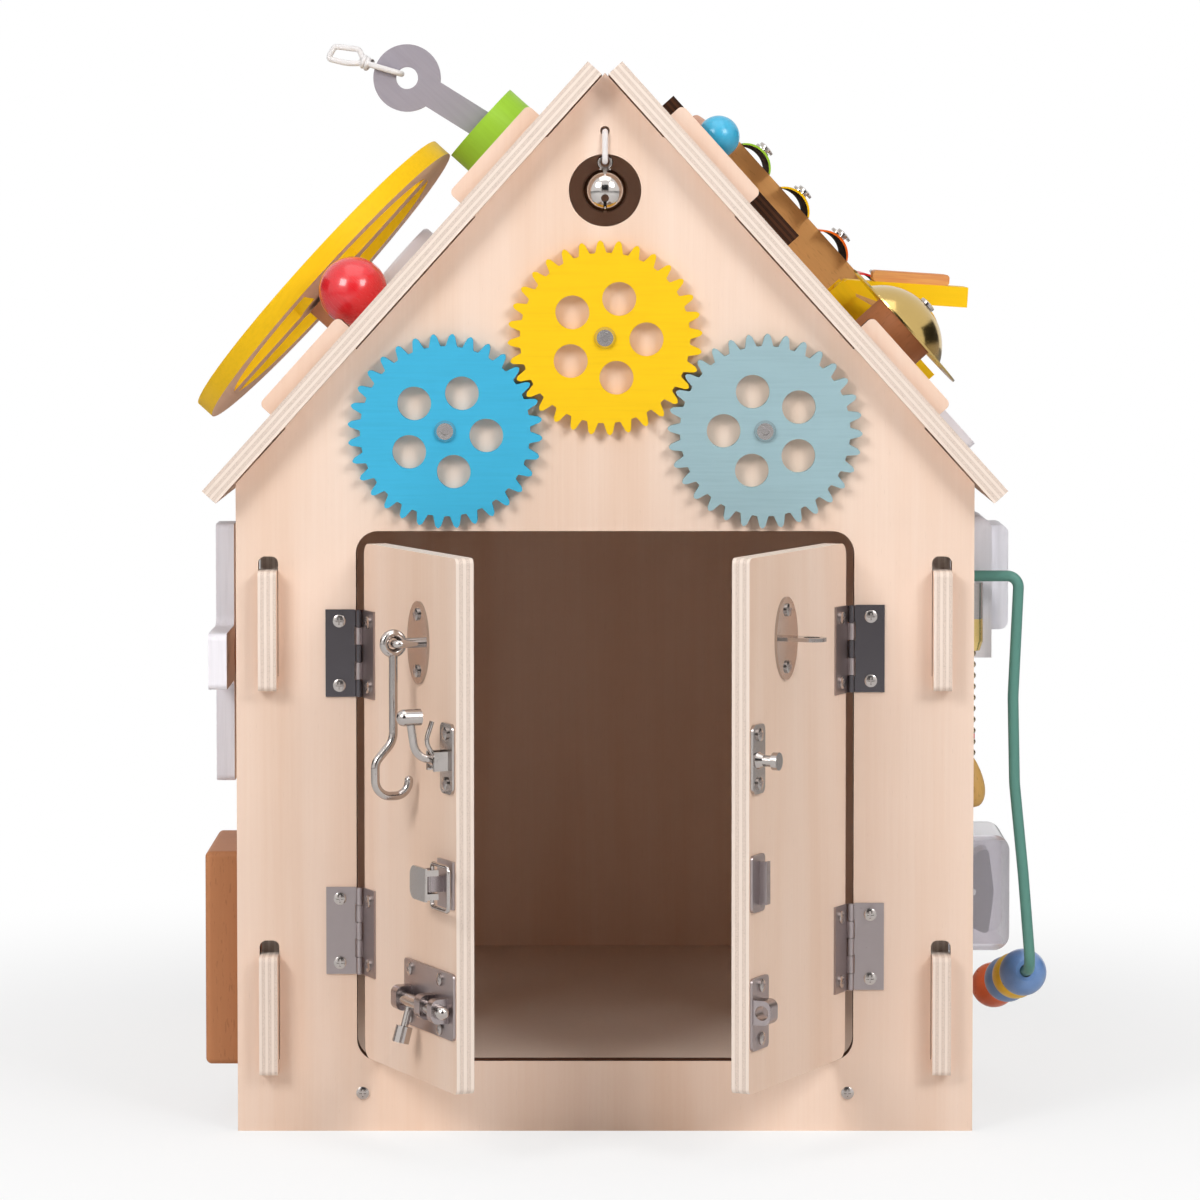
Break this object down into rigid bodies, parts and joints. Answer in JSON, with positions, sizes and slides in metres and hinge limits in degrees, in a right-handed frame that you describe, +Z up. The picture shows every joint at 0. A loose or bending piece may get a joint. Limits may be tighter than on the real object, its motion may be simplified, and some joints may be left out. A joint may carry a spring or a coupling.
{
  "type": "wooden activity house",
  "caption": "Plywood play house with hinged doors, practice locks, meshing gears, a bead wire, switches and roof toys.",
  "frame": {"origin": "middle of the footprint at the floor, under the house", "axes": "+Z up, the doors face -Y, +X to the right seen from the doors"},
  "size_m": [0.3809, 0.4598, 0.4755],
  "materials": {
    "birch": "bare birch plywood, fine sanded",
    "beech": "oiled beech",
    "bamboo": "varnished pale hardwood",
    "white_wood": "white painted wood",
    "blue_wood": "blue painted plywood",
    "yellow_wood": "yellow painted plywood",
    "grey_wood": "grey-blue painted plywood",
    "green_wood": "green painted wood",
    "red_wood": "red painted wood",
    "key_grey": "grey painted plywood",
    "orange_wood": "orange painted wood",
    "sky_wood": "light blue painted wood",
    "nickel": "polished nickel plate",
    "steel": "bright zinc plated steel",
    "brass": "polished brass",
    "bronze": "antique bronze chain",
    "bar_paint": "painted sheet metal, one colour a bar",
    "clear": "glossy white plastic",
    "rocker_grey": "grey plastic",
    "button_red": "red plastic",
    "coating": "green coating on steel wire",
    "cord": "white waxed cord"
  },
  "bodies": {
    "house": {"front_panel": "birch", "back_panel": "birch", "left_wall": "birch", "right_wall": "birch", "floor_panel": "white_wood", "roof_left": "birch", "roof_right": "birch", "frame_hinges": "steel", "house_screws": "steel", "gear_rivets": "nickel", "bell_cord": "cord", "fan_spacer": "beech", "white_boards": "white_wood", "beech_blocks": "beech", "switch_block": "white_wood", "chain_socket": "brass", "switch_housing": "clear", "bead_wire": "coating", "wheel_hub": "beech", "red_ball": "red_wood", "lock_barrel": "green_wood", "xylophone_rails": "bamboo", "xylophone_bars": "bar_paint", "cymbal_spacer": "beech", "cymbal": "brass", "clapper_lower": "yellow_wood"},
    "left_door_body": {"left_door": "birch", "left_door_hinges": "steel", "hook_staple": "nickel", "latch_base": "nickel", "toggle_base": "steel", "bolt_plate": "steel"},
    "right_door_body": {"right_door": "birch", "right_door_hinges": "steel", "eye_plate": "nickel", "latch_stud": "nickel", "toggle_keeper": "steel", "bolt_keeper": "steel"},
    "hook_body": {"cabin_hook": "nickel"},
    "latch_body": {"latch_arm": "nickel"},
    "lever_body": {"toggle_lever": "nickel"},
    "bail_body": {"toggle_bail": "nickel"},
    "bolt_body": {"bolt_rod": "nickel"},
    "blue_gear_body": {"gear_blue": "blue_wood"},
    "yellow_gear_body": {"gear_yellow": "yellow_wood"},
    "grey_gear_body": {"gear_grey": "grey_wood"},
    "bell_body": {"jingle_bell": "nickel"},
    "fan_body": {"fan_blades": "white_wood"},
    "chain_body": {"pull_chain": "bronze"},
    "button_body": {"red_button": "button_red"},
    "rocker_body": {"switch_rocker": "rocker_grey"},
    "bead_blue_body": {"bead_blue": "sky_wood"},
    "bead_yellow_body": {"bead_yellow": "yellow_wood"},
    "bead_sky_body": {"bead_sky": "sky_wood"},
    "bead_orange_body": {"bead_orange": "orange_wood"},
    "wheel_body": {"steering_wheel": "yellow_wood"},
    "key_body": {"key": "key_grey", "key_cord": "cord"},
    "mallet_body": {"mallet": "beech"},
    "clapper_body": {"clapper_upper": "yellow_wood"}
  },
  "joints": [
    {"name": "left_door_swing", "type": "hinge", "parent": "house", "child": "left_door_body", "pos_m": [-0.1066, -0.17165, 0.145], "axis": [0, 0, -1], "range_deg": [-65.5, 54.5]},
    {"name": "right_door_swing", "type": "hinge", "parent": "house", "child": "right_door_body", "pos_m": [0.1066, -0.17165, 0.145], "axis": [0, 0, 1], "range_deg": [-64.5, 55.5]},
    {"name": "hook_swing", "type": "hinge", "parent": "left_door_body", "child": "hook_body", "pos_m": [-0.08906, -0.23509, 0.219], "axis": [-0.4147, 0.91, 0], "range_deg": [0, 150]},
    {"name": "latch_swing", "type": "hinge", "parent": "left_door_body", "child": "latch_body", "pos_m": [-0.07033, -0.26172, 0.1725], "axis": [0.4147, -0.91, 0], "range_deg": [-12, 100]},
    {"name": "toggle_lift", "type": "hinge", "parent": "left_door_body", "child": "lever_body", "pos_m": [-0.07332, -0.25759, 0.1205], "axis": [0, 0, 1], "range_deg": [0, 60]},
    {"name": "bail_turn", "type": "hinge", "parent": "lever_body", "child": "bail_body", "pos_m": [-0.07191, -0.26068, 0.1205], "axis": [0, 0, 1], "range_deg": [-60, 0]},
    {"name": "bolt_slide", "type": "slide", "parent": "left_door_body", "child": "bolt_body", "axis": [0.4147, -0.91, 0], "range_m": [-0.004, 0.0105]},
    {"name": "yellow_gear_spin", "type": "hinge", "parent": "house", "child": "yellow_gear_body", "pos_m": [0, -0.173, 0.3458], "axis": [0, -1, 0], "continuous": true},
    {"name": "blue_gear_spin", "type": "hinge", "parent": "house", "child": "blue_gear_body", "pos_m": [-0.0691, -0.173, 0.3055], "axis": [0, -1, 0], "continuous": true},
    {"name": "grey_gear_spin", "type": "hinge", "parent": "house", "child": "grey_gear_body", "pos_m": [0.0691, -0.173, 0.3055], "axis": [0, -1, 0], "continuous": true},
    {"name": "bell_swing", "type": "hinge", "parent": "house", "child": "bell_body", "pos_m": [0, -0.166, 0.4219], "axis": [0, 1, 0], "range_deg": [-22, 22]},
    {"name": "fan_spin", "type": "hinge", "parent": "house", "child": "fan_body", "pos_m": [-0.1682, -0.113, 0.205], "axis": [-1, 0, 0], "continuous": true},
    {"name": "chain_pull", "type": "slide", "parent": "house", "child": "chain_body", "axis": [0, 0, -1], "range_m": [0, 0.012], "stiffness_N_per_m": 300, "springref_m": -0.002},
    {"name": "button_press", "type": "slide", "parent": "house", "child": "button_body", "axis": [-1, 0, 0], "range_m": [0, 0.0025], "stiffness_N_per_m": 400, "springref_m": -0.002},
    {"name": "rocker_tilt", "type": "hinge", "parent": "house", "child": "rocker_body", "pos_m": [0.162, -0.129, 0.1005], "axis": [0, 1, 0], "range_deg": [-12, 12]},
    {"name": "blue_bead_slide", "type": "slide", "parent": "house", "child": "bead_blue_body", "axis": [-0.0721, 0.9731, -0.2189], "range_m": [-0.003, 0.003]},
    {"name": "yellow_bead_slide", "type": "slide", "parent": "house", "child": "bead_yellow_body", "axis": [-0.0721, 0.9731, -0.2189], "range_m": [-0.003, 0.005]},
    {"name": "sky_bead_slide", "type": "slide", "parent": "house", "child": "bead_sky_body", "axis": [-0.0721, 0.9731, -0.2189], "range_m": [-0.005, 0.023]},
    {"name": "orange_bead_slide", "type": "slide", "parent": "house", "child": "bead_orange_body", "axis": [-0.0721, 0.9731, -0.2189], "range_m": [-0.023, 0.009]},
    {"name": "wheel_spin", "type": "hinge", "parent": "house", "child": "wheel_body", "pos_m": [-0.1281, -0.05, 0.36892], "axis": [-0.7419, 0.0576, 0.668], "continuous": true},
    {"name": "key_draw", "type": "slide", "parent": "house", "child": "key_body", "axis": [-0.848, 0, 0.5299], "range_m": [0, 0.035]},
    {"name": "mallet_lift", "type": "slide", "parent": "house", "child": "mallet_body", "axis": [0.7431, 0, 0.6691], "range_m": [0, 0.04]},
    {"name": "clapper_swing", "type": "hinge", "parent": "house", "child": "clapper_body", "pos_m": [0.10656, -0.072, 0.36527], "axis": [0, -1, 0], "range_deg": [-9, 40]}
  ],
  "couplings": [
    {"joint": "blue_gear_spin", "follows": "yellow_gear_spin", "ratio": -1},
    {"joint": "grey_gear_spin", "follows": "yellow_gear_spin", "ratio": -1},
    {"joint": "bail_turn", "follows": "toggle_lift", "ratio": -1}
  ]
}
